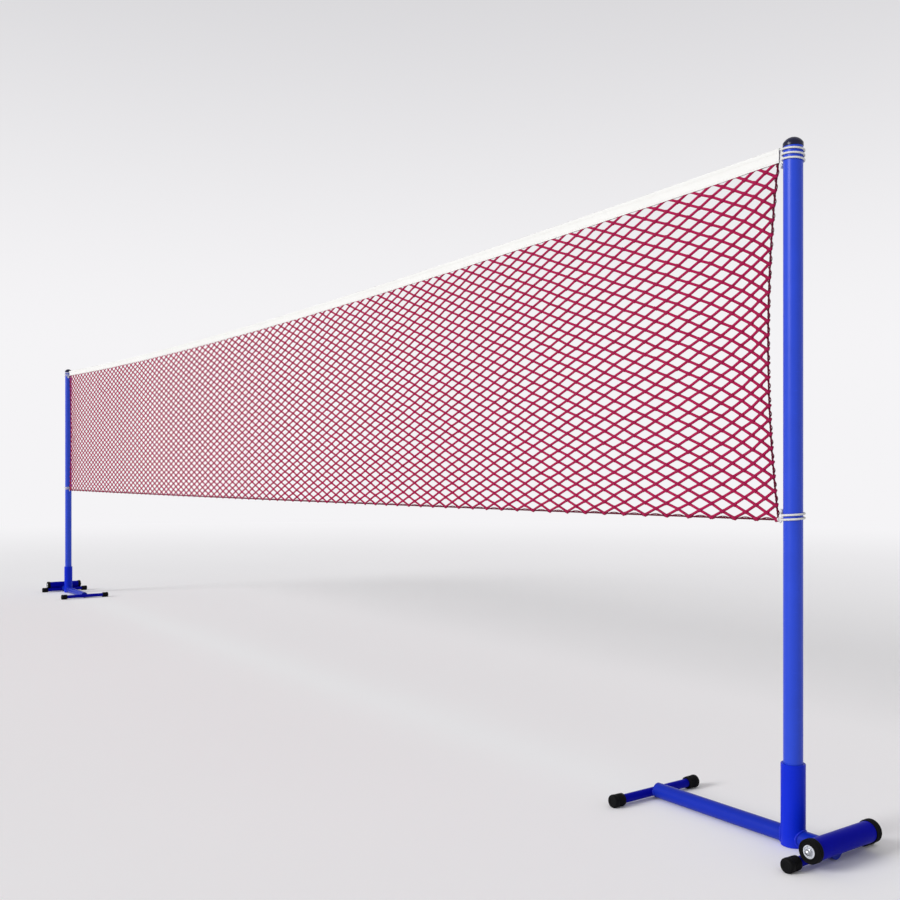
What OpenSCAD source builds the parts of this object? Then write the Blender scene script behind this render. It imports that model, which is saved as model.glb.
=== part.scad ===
// Sports net between two free-standing poles.
// Millimetres, +Z up. The origin is on the floor at mid-span, and the net hangs in the plane y = 0.

/* [Overall] */
// Distance between the axes of the two poles
pole_spacing = 6100; // [4000:50:7600]
// Height of the pole cap's crown above the floor
pole_height = 1600; // [1250:10:2450]

/* [Poles] */
// Outside diameter of a pole tube
pole_d = 43.4; // [35:0.2:54]
// Wall of a pole tube
pole_wall = 1.8; // [1.2:0.1:3]
// How far the pole cap stands out past the pole
cap_lip = 1.1; // [0.4:0.1:3]
// Height of the pole cap's straight skirt
cap_skirt = 8; // [4:1:14]
// Height of the pole cap's dome above its skirt
cap_dome = 14; // [8:1:20]
// Depth of the plugs that sit inside the pole tube
plug_depth = 24; // [12:1:40]
// Thickness of the bottom plug's flange
plug_flange = 2.5; // [1.5:0.5:5]

/* [Sockets] */
// Wall of the socket sleeve
sleeve_wall = 5.3; // [3:0.1:8]
// Height of the sleeve's mouth above the floor
sleeve_top = 185; // [120:5:260]
// Radial clearance of the pole in its sleeve
pole_clear = 0.3; // [0.3:0.05:0.5]

/* [Stem] */
// Outside diameter of the stem tube
stem_d = 38; // [30:0.5:46]
// Wall of the stem tube
stem_wall = 2; // [1.5:0.1:3]
// Gap between the stem and the floor
stem_lift = 1; // [1:0.5:6]
// Distance from the pole axis to the inner foot
inner_reach = 421; // [300:5:520]
// Distance from the pole axis to the outer foot
outer_reach = 95; // [78:1:140]
// Depth of the inner foot's seat in the stem's end
foot_seat = 2; // [1:0.5:5]
// Length of the stem past the outer foot
stem_nose = 6; // [4:0.5:12]

/* [Feet] */
// Outside diameter of a foot tube
foot_d = 22; // [18:0.5:27]
// Wall of a foot tube
foot_wall = 1.5; // [1.2:0.1:2.5]
// Length of a foot over its rubber caps
foot_length = 310; // [240:5:420]
// Wall of a rubber foot cap
foot_cap_wall = 5.5; // [3:0.1:8]
// Length of a rubber foot cap
foot_cap_l = 37; // [28:1:50]
// Thickness of a foot cap's closed end
foot_cap_end = 8; // [4:1:12]
// Depth of the flat on which a foot cap stands
foot_cap_flat = 1; // [0.5:0.1:2]

/* [Transport wheels] */
// Diameter of a tyre
wheel_d = 52; // [42:1:64]
// Width of a wheel
wheel_w = 18; // [12:1:26]
// Diameter of a wheel's hub
hub_d = 28; // [22:0.5:34]
// Diameter of the axle
axle_d = 10; // [8:0.5:12]
// Gap between a tyre and the outer foot
wheel_clear = 3; // [2:0.5:8]
// Direction from the outer foot up and out to the axle, in degrees above level
wheel_angle = 47.5; // [35:0.5:60]
// Outside diameter of the axle housing
housing_d = 47; // [39:0.5:50]
// Wall of the axle housing
housing_wall = 2.5; // [2:0.1:4]

/* [Net] */
// Distance from the pole cap's underside down to the head cord's first turn
net_drop = 4; // [4:1:400]
// Height that the head cord comes down between the headband and the pole
lead_drop = 7; // [3:1:12]
// Height of the mesh at the poles
mesh_h = 814; // [600:2:1000]
// Full diamonds side by side
mesh_cols = 20; // [12:1:22]
// Full diamonds one above the other
mesh_rows = 6; // [4:1:6]
// Width of a mesh cord
mesh_cord = 9; // [5:0.5:12]
// Thickness of a mesh cord
mesh_thick = 3; // [2:0.5:5]
// Sag of the headband at mid-span
head_sag = 51; // [20:1:90]
// Sag of the bottom border at mid-span
foot_sag = 5; // [3:1:40]
// Inward bow of a side border at mid-height
side_bow = 28; // [10:1:50]
// Diameter of the bottom and side border cords
border_d = 5; // [4:0.5:8]

/* [Headband] */
// Height of the headband
tape_h = 34; // [25:1:75]
// Thickness of the headband's two layers
tape_thick = 2.2; // [1.5:0.1:4]
// Thickness of the headband around the head cord
fold_wall = 1.4; // [1:0.1:3]
// Diameter of the head cord inside the fold
head_cord_d = 4.5; // [3.5:0.5:5.5]

/* [Ties] */
// Turns of the head cord around each pole
top_turns = 3; // [1:1:4]
// Height of one turn of the head cord
top_rise = 11; // [6:0.5:14]
// Turns of a bottom tie around its pole
bottom_turns = 2; // [1:1:3]
// Height of one turn of a bottom tie
bottom_rise = 10; // [6.5:0.5:14]
// Tightest bend of a tied cord, in cord diameters
tie_bend = 1.9; // [1.8:0.1:4]

/* [Hidden] */
$fn = 96;
RIGHT = 1;
LEFT = -1;
FRONT = -1;
BACK = 1;

// Sides of a cord, and its rings in a turn, in the bend that leads into it and across the net
RING_SIDES = 6;
RINGS_PER_TURN = 24;
LEAD_RINGS = 4;
SPAN_RINGS = 15;

// Fit between fixed pieces, on the radius
weld_fit = 0.05;
// Gap between a moving piece and what it comes to rest on
rest_gap = 0.3;
// Running clearance of a hub on its axle, on the radius
axle_fit = 0.08;
// Gap beside a wheel, to the bush on one side and the nut on the other
wheel_side_gap = 1;
// Length that a nut covers of the axle, its wall and its crown
nut_grip = 5;
nut_wall = 2.4;
nut_crown = 2.5;
// Walls of a hub's boss and rim, and the depth of the recess between them
boss_wall = 2.8;
rim_wall = 2.2;
hub_recess = 3;
// Gap along y between a wheel and the foot cap beside it
wheel_cap_gap = 3;
// Length of an axle bush
bush_depth = 18;
// Thickness of the plates in the stem's ends
plate_thick = 3;
// Roundings: a tube's mouth, a foot cap and a tyre's shoulder
mouth_edge = 0.8;
cap_edge = 5;
tyre_edge = 3;
// Overlap of a cut past the face that it opens
past = 1;

// Diameters, heights and reaches that follow from the sizes above
cap_d = pole_d + 2 * cap_lip;
sleeve_bore = pole_d + 2 * pole_clear;
sleeve_d = sleeve_bore + 2 * sleeve_wall;
foot_cap_d = foot_d + 2 * foot_cap_wall;
nut_d = axle_d + 2 * weld_fit + 2 * nut_wall;
bore_r = head_cord_d / 2 + rest_gap;
fold_d = 2 * (bore_r + fold_wall);
foot_z = foot_cap_d / 2 - foot_cap_flat;
stem_z = stem_lift + stem_d / 2;
stem_top = stem_lift + stem_d;
stem_start = foot_d / 2 - foot_seat - inner_reach;
stem_end = outer_reach + foot_d / 2 + stem_nose;
axle_offset = foot_d / 2 + wheel_d / 2 + wheel_clear;
axle_x = outer_reach + axle_offset * cos(wheel_angle);
axle_z = foot_z + axle_offset * sin(wheel_angle);
wheel_face = foot_length / 2 - foot_cap_l - wheel_cap_gap;
housing_end = wheel_face - wheel_w - wheel_side_gap;
pole_foot_z = stem_top + rest_gap;
pole_bottom = pole_foot_z + plug_flange;
pole_top = pole_height - cap_dome - cap_skirt;

// The net's outline: chords between the corners, bowed as circular arcs
head_wrap_z = pole_top - net_drop;
tape_top = head_wrap_z + lead_drop + fold_d / 2;
tape_foot = tape_top - tape_h;
head_wrap_r = pole_d / 2 + rest_gap + head_cord_d / 2;
border_wrap_r = pole_d / 2 + rest_gap + border_d / 2;
head_start = lead_reach(head_wrap_r, head_cord_d * tie_bend);
border_start = lead_reach(border_wrap_r, border_d * tie_bend);
tape_end = pole_spacing / 2 - head_start - head_cord_d;
border_end = pole_spacing / 2 - border_start - border_d;
side_x = min(tape_end, border_end) - border_d / 2;
mesh_x = side_x - border_d / 2 - rest_gap;
mesh_top = tape_foot - rest_gap;
mesh_foot = mesh_top - mesh_h;
border_z = mesh_foot - rest_gap - border_d / 2;

// Distance from the pole axis at which a cord leaves the net plane, to wrap at radius r with bend b
function lead_reach(r, b) = sqrt(r * r + 2 * r * b);
// Radius of the arc that bows by sag between two points a chord apart
function arc_radius(chord, sag) = (chord * chord / 4 + sag * sag) / (2 * sag);
// How far that arc lies from its chord, at a distance from the chord's middle
function arc_drop(at, chord, sag) =
    sqrt(pow(arc_radius(chord, sag), 2) - at * at) - (arc_radius(chord, sag) - sag);

module steel_blue() { color([0.13, 0.22, 0.86]) children(); }
module navy() { color([0.05, 0.07, 0.52]) children(); }
module black_rubber() { color([0.03, 0.03, 0.05]) children(); }
module light_grey() { color([0.72, 0.73, 0.76]) children(); }
module white_cloth() { color([0.95, 0.95, 0.93]) children(); }
module crimson() { color([0.47, 0.08, 0.22]) children(); }

// Places a stand that is drawn at the origin, with its outer end towards +X
module stand(side) {
    translate([side * pole_spacing / 2, 0, 0])
        rotate([0, 0, side == RIGHT ? 0 : 180])
            children();
}

module along_x() { rotate([0, 90, 0]) children(); }
module along_y() { rotate([-90, 0, 0]) children(); }

// Outline of a turned piece of radius r and length l, with its far corner rounded by c
module turned_outline(r, l, c) {
    square([r, l - c]);
    square([r - c, l]);
    translate([r - c, l - c]) circle(c, $fn = 32);
}

// The axle housing's outside, with a weld's room around it
module housing_cope() {
    translate([axle_x, 0, axle_z])
        along_y() cylinder(r = housing_d / 2 + weld_fit, h = foot_length, center = true);
}

module foot_hole(x) {
    translate([x, 0, foot_z])
        along_y() cylinder(r = foot_d / 2 + weld_fit, h = foot_length, center = true);
}

// Stem: one tube along the floor, butted against the inner foot, drilled for the outer foot and
// coped around the axle housing
module stem(side) {
    steel_blue() stand(side) difference() {
        translate([stem_start, 0, stem_z])
            along_x() cylinder(d = stem_d, h = stem_end - stem_start);
        translate([stem_start - past, 0, stem_z])
            along_x() cylinder(d = stem_d - 2 * stem_wall, h = stem_end - stem_start + 2 * past);
        housing_cope();
        foot_hole(-inner_reach);
        foot_hole(outer_reach);
    }
}

// Plates that close the stem's ends: one behind the inner foot, a coped one under the axle housing
module stem_plates(side) {
    steel_blue() stand(side) difference() {
        for (x = [stem_start + foot_seat + weld_fit, stem_end - plate_thick])
            translate([x, 0, stem_z])
                along_x() cylinder(r = stem_d / 2 - stem_wall - weld_fit, h = plate_thick);
        housing_cope();
    }
}

// A cross foot: a thin tube, across the stem's inner end or through its outer end
module foot(side, x) {
    l = foot_length - 2 * foot_cap_end;
    navy() stand(side) translate([x, 0, foot_z]) along_y() difference() {
        cylinder(d = foot_d, h = l, center = true);
        cylinder(d = foot_d - 2 * foot_wall, h = l + 2 * past, center = true);
    }
}

// A rubber cap over a foot's end, cut flat where it stands on the floor
module foot_cap() {
    rotate_extrude() difference() {
        turned_outline(foot_cap_d / 2, foot_cap_l, cap_edge);
        translate([0, -past]) square([foot_d / 2 + weld_fit, foot_cap_l - foot_cap_end + past]);
    }
}

module foot_caps(side) {
    black_rubber() stand(side) difference() {
        for (x = [-inner_reach, outer_reach], end = [FRONT, BACK])
            translate([x, end * (foot_length / 2 - foot_cap_l), foot_z])
                rotate([-90 * end, 0, 0]) foot_cap();
        translate([-inner_reach - foot_cap_d, -foot_length / 2 - past, -foot_cap_d])
            cube([inner_reach + outer_reach + 2 * foot_cap_d, foot_length + 2 * past, foot_cap_d]);
    }
}

// Socket sleeve: stands over the stem, with a bore for the pole and a chamfered mouth
module sleeve(side) {
    rim_z = sleeve_top - mouth_edge;
    steel_blue() stand(side) difference() {
        union() {
            translate([0, 0, stem_lift]) cylinder(d = sleeve_d, h = rim_z - stem_lift);
            translate([0, 0, rim_z])
                cylinder(d1 = sleeve_d, d2 = sleeve_d - 2 * mouth_edge, h = mouth_edge);
        }
        cylinder(d = sleeve_bore, h = sleeve_top + past);
        translate([0, 0, rim_z])
            cylinder(d1 = sleeve_bore, d2 = sleeve_bore + 4 * mouth_edge, h = 2 * mouth_edge);
        translate([0, 0, stem_z])
            along_x() cylinder(r = stem_d / 2 + weld_fit, h = sleeve_d + 2 * past, center = true);
    }
}

// Axle housing: a cross tube on the coped end of the stem
module axle_housing(side) {
    navy() stand(side) translate([axle_x, 0, axle_z]) along_y() difference() {
        cylinder(d = housing_d, h = 2 * housing_end, center = true);
        cylinder(d = housing_d - 2 * housing_wall, h = 2 * (housing_end + past), center = true);
    }
}

// Bushes that carry the axle in the housing's two ends
module axle_bushes(side) {
    black_rubber() stand(side) translate([axle_x, 0, axle_z]) for (end = [FRONT, BACK])
        rotate([-90 * end, 0, 0]) translate([0, 0, housing_end - bush_depth]) difference() {
            cylinder(r = housing_d / 2 - housing_wall - weld_fit, h = bush_depth);
            translate([0, 0, -past]) cylinder(r = axle_d / 2 + weld_fit, h = bush_depth + 2 * past);
        }
}

module axle(side) {
    light_grey() stand(side) translate([axle_x, 0, axle_z]) along_y()
        cylinder(d = axle_d, h = 2 * (wheel_face + wheel_side_gap + nut_grip), center = true);
}

// Domed push nuts that keep the wheels on the axle
module axle_nuts(side) {
    light_grey() stand(side) translate([axle_x, 0, axle_z]) for (end = [FRONT, BACK])
        rotate([-90 * end, 0, 0]) translate([0, 0, wheel_face + wheel_side_gap])
            rotate_extrude() difference() {
                turned_outline(nut_d / 2, nut_grip + nut_crown, nut_crown);
                translate([0, -past]) square([axle_d / 2 + weld_fit, nut_grip + past]);
            }
}

// Places a wheel that is drawn along +Z with its inner face at the origin
module wheel(side, end) {
    stand(side) translate([axle_x, 0, axle_z])
        rotate([-90 * end * side, 0, 0]) translate([0, 0, wheel_face - wheel_w])
            children();
}

module tyre(side, end) {
    black_rubber() wheel(side, end) rotate_extrude() difference() {
        union() {
            square([wheel_d / 2 - tyre_edge, wheel_w]);
            translate([0, tyre_edge]) square([wheel_d / 2, wheel_w - 2 * tyre_edge]);
            for (y = [tyre_edge, wheel_w - tyre_edge])
                translate([wheel_d / 2 - tyre_edge, y]) circle(tyre_edge, $fn = 32);
        }
        translate([0, -past]) square([hub_d / 2 + weld_fit, wheel_w + 2 * past]);
    }
}

// A hub with a boss, a rim and a recessed web between them on both faces
module hub(side, end) {
    light_grey() wheel(side, end) difference() {
        cylinder(d = hub_d, h = wheel_w);
        translate([0, 0, -past]) cylinder(r = axle_d / 2 + axle_fit, h = wheel_w + 2 * past);
        for (z = [-past, wheel_w - hub_recess]) translate([0, 0, z]) difference() {
            cylinder(r = hub_d / 2 - rim_wall, h = hub_recess + past);
            cylinder(r = axle_d / 2 + boss_wall, h = hub_recess + past);
        }
    }
}

module pole(side) {
    steel_blue() stand(side) translate([0, 0, pole_bottom]) difference() {
        cylinder(d = pole_d, h = pole_top - pole_bottom);
        translate([0, 0, -past])
            cylinder(d = pole_d - 2 * pole_wall, h = pole_top - pole_bottom + 2 * past);
    }
}

// Domed cap on the pole's top, with a plug inside the tube
module pole_cap(side) {
    dome_r = arc_radius(cap_d, cap_dome);
    black_rubber() stand(side) translate([0, 0, pole_top]) {
        rotate_extrude() intersection() {
            translate([0, cap_skirt + cap_dome - dome_r]) circle(dome_r, $fn = 180);
            square([cap_d / 2, cap_skirt + cap_dome]);
        }
        translate([0, 0, -plug_depth]) cylinder(r = pole_d / 2 - pole_wall - weld_fit, h = plug_depth);
    }
}

// Bottom plug: its flange is what the pole stands on
module pole_foot(side) {
    black_rubber() stand(side) {
        translate([0, 0, pole_foot_z]) cylinder(d = pole_d, h = plug_flange);
        translate([0, 0, pole_bottom])
            cylinder(r = pole_d / 2 - pole_wall - weld_fit, h = plug_depth);
    }
}

// Height of the headband's top edge and of the bottom border at x, where they hang as arcs
function tape_z(x) = tape_top - arc_drop(x, 2 * tape_end, head_sag);
function border_cord_z(x) = border_z - arc_drop(x, 2 * border_end, foot_sag);
span_stations = [for (k = [0 : SPAN_RINGS]) 2 * k / SPAN_RINGS - 1];

// Headband's cross-section as [down, across]: a tape folded over the head cord, and the cord's bore
fold_angles = [60, 100, 140, 180, 220, 260, 300];
band_outside = concat(
    [[tape_h, tape_thick / 2], [fold_d * 1.5, tape_thick / 2]],
    [for (a = fold_angles) fold_d / 2 * [1 + cos(a), sin(a)]],
    [[fold_d * 1.5, -tape_thick / 2], [tape_h, -tape_thick / 2]]);
band_bore = [for (a = concat([10, 30], fold_angles, [330, 350]))
    [fold_d / 2 + bore_r * cos(a), bore_r * sin(a)]];

module headband() {
    n = len(span_stations);
    s = len(band_outside);
    points = [for (u = span_stations, q = concat(band_outside, band_bore))
        [u * tape_end, q[1], tape_z(u * tape_end) - q[0]]];
    walls = [for (k = [0 : n - 2], m = [0 : s - 1])
        let (a = 2 * k * s + m, b = 2 * k * s + (m + 1) % s, c = a + 2 * s, d = b + 2 * s)
        each [[a, b, d], [a, d, c], [a + s, d + s, b + s], [a + s, c + s, d + s]]];
    ends = [for (k = [0, n - 1], m = [0 : s - 1])
        let (a = 2 * k * s + m, b = 2 * k * s + (m + 1) % s)
        each k == 0 ? [[a, a + s, b + s], [a, b + s, b]] : [[a, b + s, a + s], [a, b, b + s]]];
    white_cloth() polyhedron(points, concat(walls, ends));
}

module bottom_cord() {
    crimson() tube([for (u = span_stations) [u * border_end, 0, border_cord_z(u * border_end)]], border_d);
}

// Side border: bows inwards between the headband and the bottom border
module side_cord(side) {
    r = arc_radius(mesh_h, side_bow);
    half_angle = asin((mesh_h / 2 - rest_gap) / r);
    steps = 2 * mesh_rows;
    middle = (mesh_top + mesh_foot) / 2;
    crimson() stand(side) translate([side_x - pole_spacing / 2 - side_bow + r, 0, middle])
        rotate([90, 0, 0]) rotate([0, 0, 180 - half_angle])
            rotate_extrude(angle = 2 * half_angle, $fn = ceil(steps * 180 / half_angle))
                translate([r, 0]) circle(d = border_d, $fn = 32);
}

// Net: the flat mesh is laid out in plain columns and rows, and each point is then moved to where
// the hanging headband, the bottom border and the bowed side borders hold it.
mesh_w = 2 * mesh_x;
col_half = mesh_w / mesh_cols / 2;
row_half = mesh_h / mesh_rows / 2;
// Distance from a diamond's centre to its side, and how much the cord's half width shrinks it
diamond_in = col_half * row_half / norm([col_half, row_half]);
shrink = 1 - mesh_cord / 2 / diamond_in;
selvedge = mesh_cord / 2;

function hung(p) =
    let (up = p[1] / mesh_h,
         x = p[0] * (mesh_x - arc_drop(p[1] - mesh_h / 2, mesh_h, side_bow)) / mesh_x,
         low = border_cord_z(x) + border_d / 2 + rest_gap,
         high = tape_z(x) - tape_h - rest_gap)
    [x, low + (high - low) * up];

// A gap's outline about its centre: a diamond, or the part of it inside the selvedge at a border
function gap_outline(i, j) =
    let (a = col_half * shrink,
         b = row_half * shrink,
         cut_x = a - selvedge * col_half / row_half,
         cut_z = b - selvedge * row_half / col_half)
    i == 0 ? [[selvedge, -cut_z], [a, 0], [selvedge, cut_z]] :
    i == 2 * mesh_cols ? [[-selvedge, -cut_z], [-selvedge, cut_z], [-a, 0]] :
    j == 0 ? [[-cut_x, selvedge], [cut_x, selvedge], [0, b]] :
    j == 2 * mesh_rows ? [[-cut_x, -selvedge], [0, -b], [cut_x, -selvedge]] :
    [[-a, 0], [0, -b], [a, 0], [0, b]];

gap_cells = [for (i = [0 : 2 * mesh_cols], j = [0 : 2 * mesh_rows]) if ((i + j) % 2 == 1) [i, j]];

net_outline = concat(
    [for (i = [0 : 2 * mesh_cols]) [i * col_half - mesh_x, 0]],
    [for (j = [1 : 2 * mesh_rows - 1]) [mesh_x, j * row_half]],
    [for (i = [2 * mesh_cols : -1 : 0]) [i * col_half - mesh_x, mesh_h]],
    [for (j = [2 * mesh_rows - 1 : -1 : 1]) [-mesh_x, j * row_half]]);

module net() {
    crimson() rotate([90, 0, 0]) linear_extrude(height = mesh_thick, center = true) difference() {
        polygon([for (p = net_outline) hung(p)]);
        for (c = gap_cells)
            polygon([for (q = gap_outline(c[0], c[1]))
                hung([c[0] * col_half - mesh_x + q[0], c[1] * row_half + q[1]])]);
    }
}

// Tied cords: each leaves the net in line with its border, bends aside and winds around the pole.
// Route about the pole's axis of a cord of diameter d, which comes in at height z, drops and winds
// at radius r with the given turns, moving by rise in each of them
function winding(r, d, z, drop, turns, rise) =
    let (b = d * tie_bend,
         reach = lead_reach(r, b),
         bend = atan2(reach, b),
         start = 270 - bend,
         rings = turns * RINGS_PER_TURN)
    concat(
        [for (k = [0 : LEAD_RINGS - 1])
            let (a = bend * k / LEAD_RINGS)
            [-reach + b * sin(a), -b + b * cos(a), z - drop * k / LEAD_RINGS]],
        [for (k = [0 : rings])
            let (a = start + 360 * k / RINGS_PER_TURN)
            [r * cos(a), r * sin(a), z - drop + rise * k / RINGS_PER_TURN]]);

function unit(v) = v / norm(v);
function heading(p, k) =
    k == 0 ? unit(p[1] - p[0]) :
    k == len(p) - 1 ? unit(p[k] - p[k - 1]) :
    unit(unit(p[k] - p[k - 1]) + unit(p[k + 1] - p[k]));

// A tube of diameter d through the points, none of which runs upright
module tube(p, d) {
    n = len(p);
    s = RING_SIDES;
    points = [for (k = [0 : n - 1], m = [0 : s - 1])
        let (t = heading(p, k),
             across = unit(cross([0, 0, 1], t)),
             up = cross(t, across),
             a = 360 * m / s)
        p[k] + d / 2 * (cos(a) * across + sin(a) * up)];
    walls = [for (k = [0 : n - 2], m = [0 : s - 1]) each [
        [k * s + m, (k + 1) * s + m, (k + 1) * s + (m + 1) % s],
        [k * s + m, (k + 1) * s + (m + 1) % s, k * s + (m + 1) % s]]];
    first = [for (m = [1 : s - 2]) [0, m, m + 1]];
    last = [for (m = [1 : s - 2]) [(n - 1) * s, (n - 1) * s + m + 1, (n - 1) * s + m]];
    polyhedron(points, concat(walls, first, last));
}

// Least gap of a winding to itself, measured on its own points
function least_gap(p, d) =
    min([for (i = [0 : len(p) - 1], j = [i + RINGS_PER_TURN / 2 : 1 : len(p) - 1]) norm(p[i] - p[j])]) - d;

// The head cord is one length: a winding, the run inside the headband's fold, and a winding
top_winding = winding(head_wrap_r, head_cord_d, head_wrap_z + lead_drop, lead_drop,
                      top_turns, -top_rise);
head_route = concat(
    [for (k = [len(top_winding) - 1 : -1 : 0])
        [-pole_spacing / 2 - top_winding[k][0], top_winding[k][1], top_winding[k][2]]],
    [for (u = span_stations) [u * tape_end, 0, tape_z(u * tape_end) - fold_d / 2]],
    [for (p = top_winding) p + [pole_spacing / 2, 0, 0]]);
echo(head_cord_gap = least_gap(top_winding, head_cord_d));

// A bottom tie starts at the end of the bottom border and winds up the pole
bottom_route = concat(
    [[border_end - pole_spacing / 2 + rest_gap, 0, border_z]],
    winding(border_wrap_r, border_d, border_z, 0, bottom_turns, bottom_rise));
echo(bottom_tie_gap = least_gap(bottom_route, border_d));

module head_cord() { white_cloth() tube(head_route, head_cord_d); }
module bottom_tie(side) { white_cloth() stand(side) tube(bottom_route, border_d); }

stem(LEFT);  // stem_left
stem_plates(LEFT);  // stem_plates_left
foot(LEFT, -inner_reach);  // inner_foot_left
foot(LEFT, outer_reach);  // outer_foot_left
foot_caps(LEFT);  // foot_caps_left
sleeve(LEFT);  // sleeve_left
axle_housing(LEFT);  // axle_housing_left
axle_bushes(LEFT);  // axle_bushes_left
axle(LEFT);  // axle_left
axle_nuts(LEFT);  // axle_nuts_left
tyre(LEFT, FRONT);  // front_tyre_left
hub(LEFT, FRONT);  // front_hub_left
tyre(LEFT, BACK);  // back_tyre_left
hub(LEFT, BACK);  // back_hub_left
pole(LEFT);  // pole_left
pole_cap(LEFT);  // pole_cap_left
pole_foot(LEFT);  // pole_foot_left
stem(RIGHT);  // stem_right
stem_plates(RIGHT);  // stem_plates_right
foot(RIGHT, -inner_reach);  // inner_foot_right
foot(RIGHT, outer_reach);  // outer_foot_right
foot_caps(RIGHT);  // foot_caps_right
sleeve(RIGHT);  // sleeve_right
axle_housing(RIGHT);  // axle_housing_right
axle_bushes(RIGHT);  // axle_bushes_right
axle(RIGHT);  // axle_right
axle_nuts(RIGHT);  // axle_nuts_right
tyre(RIGHT, FRONT);  // front_tyre_right
hub(RIGHT, FRONT);  // front_hub_right
tyre(RIGHT, BACK);  // back_tyre_right
hub(RIGHT, BACK);  // back_hub_right
pole(RIGHT);  // pole_right
pole_cap(RIGHT);  // pole_cap_right
pole_foot(RIGHT);  // pole_foot_right
net();
headband();
head_cord();
bottom_cord();
side_cord(LEFT);  // side_cord_left
side_cord(RIGHT);  // side_cord_right
bottom_tie(LEFT);  // bottom_tie_left
bottom_tie(RIGHT);  // bottom_tie_right
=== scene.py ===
import math
import random

import bpy
import numpy as np
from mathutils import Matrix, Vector


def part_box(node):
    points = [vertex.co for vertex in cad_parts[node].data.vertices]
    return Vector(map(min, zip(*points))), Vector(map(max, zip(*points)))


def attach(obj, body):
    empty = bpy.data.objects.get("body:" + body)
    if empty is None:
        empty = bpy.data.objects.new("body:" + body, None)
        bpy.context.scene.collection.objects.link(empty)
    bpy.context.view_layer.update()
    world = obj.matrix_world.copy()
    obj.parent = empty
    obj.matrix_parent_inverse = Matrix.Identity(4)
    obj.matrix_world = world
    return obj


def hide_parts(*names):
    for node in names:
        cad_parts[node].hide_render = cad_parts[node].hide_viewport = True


bl_info = {
    "name": "Sports net on two poles",
    "version": (1, 0, 0),
    "blender": (4, 5, 0),
    "location": "View3D > Sidebar > Sports net",
    "description": "Builds a knotted net with its tape and cords, and two wheeled pole stands",
    "category": "Object",
}

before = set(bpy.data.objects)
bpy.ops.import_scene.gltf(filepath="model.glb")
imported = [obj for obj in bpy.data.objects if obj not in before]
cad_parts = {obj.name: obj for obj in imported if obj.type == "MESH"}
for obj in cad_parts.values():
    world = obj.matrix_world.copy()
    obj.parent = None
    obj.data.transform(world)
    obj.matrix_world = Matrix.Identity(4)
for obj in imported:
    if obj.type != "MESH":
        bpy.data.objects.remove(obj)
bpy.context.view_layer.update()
SIDES = {"left": -1, "right": 1}
ENDS = {"front": -1, "back": 1}
STANDS = "stands"
NET_BODY = "net_and_right_pole"
POLE_BODY = {"left": "left_pole", "right": NET_BODY}


# ---- places taken from the frame


def middle(node):
    low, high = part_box(node)
    return (low + high) / 2


def sizes(node):
    low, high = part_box(node)
    return high - low


POLE = {side: middle(f"pole_{side}") for side in SIDES}
POLE_X = POLE["right"].x
POLE_R = sizes("pole_right").x / 2
POLE_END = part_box("pole_right")[1].z
SLEEVE_R = sizes("sleeve_right").x / 2
STEM_R = sizes("stem_right").z / 2
STEM_Z = middle("stem_right").z
FOOT_R = sizes("outer_foot_right").z / 2
FOOT_Z = middle("outer_foot_right").z
HOUSING_R = sizes("axle_housing_right").z / 2
AXLE = {side: middle(f"axle_{side}") for side in SIDES}
AXLE_R = sizes("axle_right").z / 2
# A foot cap's length, and how far its closed end reaches past the foot
CAP_LENGTH = 0.037
CAP_END = 0.008

# The net hangs as it does in the part's source, in metres
HEAD_SAG = 0.051
FOOT_SAG = 0.005
SIDE_BOW = 0.028
# How far from the poles the diamonds close up
SIDE_SLACK = 0.46
TAPE_H = 0.034
TAPE_THICKNESS = 0.0008
FOLD_R = 0.00395
HEAD_CORD_R = 0.00225
BORDER_R = 0.0025
# Radius of a border rope's three strands, which touch each other
STRAND_R = BORDER_R / (1 + 2 / math.sqrt(3))
REST_GAP = 0.0003
# The bend of a cord onto its pole, in cord widths
TIE_BEND = 1.9
# The cords' turns round the poles: the drop before them, their number and the rise of each
HEAD_LEAD_DROP = 0.007
HEAD_TURNS = 3
HEAD_RISE = -0.011
FOOT_TURNS = 2
FOOT_RISE = 0.010
KNOT_SIZE = 0.0019
KNOT_CORD_R = 0.0021
TAPE_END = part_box("headband")[1].x
TAPE_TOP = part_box("headband")[1].z
BORDER_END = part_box("bottom_cord")[1].x
MESH_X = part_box("net")[1].x
MESH_TOP = TAPE_TOP - TAPE_H - REST_GAP
MESH_H = 0.814
MESH_FOOT = MESH_TOP - MESH_H
BORDER_Z = MESH_FOOT - REST_GAP - BORDER_R
# How far the net's top reaches up between the tape's layers
IN_TAPE = 0.005


def arc_drop(at, chord, sag):
    radius = (chord * chord / 4 + sag * sag) / (2 * sag)
    return math.sqrt(radius * radius - at * at) - (radius - sag)


def tape_z(x):
    return TAPE_TOP - arc_drop(x, 2 * TAPE_END, HEAD_SAG)


def border_z(x):
    return BORDER_Z - arc_drop(x, 2 * BORDER_END, FOOT_SAG)


def side_x(z):
    """Where the side border bows to, as a distance from mid-span."""
    half = MESH_H / 2
    at = max(-half, min(half, z - MESH_FOOT - half))
    return MESH_X - arc_drop(at, MESH_H, SIDE_BOW)


def hung(across, up):
    """A point of the hanging net: across runs from -1 to 1, and up from 0 to 1. The diamonds
    are even in the middle, and close up towards the side ropes that bow inwards."""
    even = abs(across) * POLE_X
    pull = max(0.0, (even - POLE_X) / SIDE_SLACK + 1) ** 3
    drawn_in = POLE_X - side_x(MESH_FOOT + up * MESH_H)
    x = math.copysign(even - drawn_in * pull, across)
    # near the tape the net follows its waves
    y = ripple(x, TAPE_H) * up**8
    low = border_z(x)
    high = tape_z(x) - TAPE_H + IN_TAPE
    return Vector((x, y, low + (high - low) * up))


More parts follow.
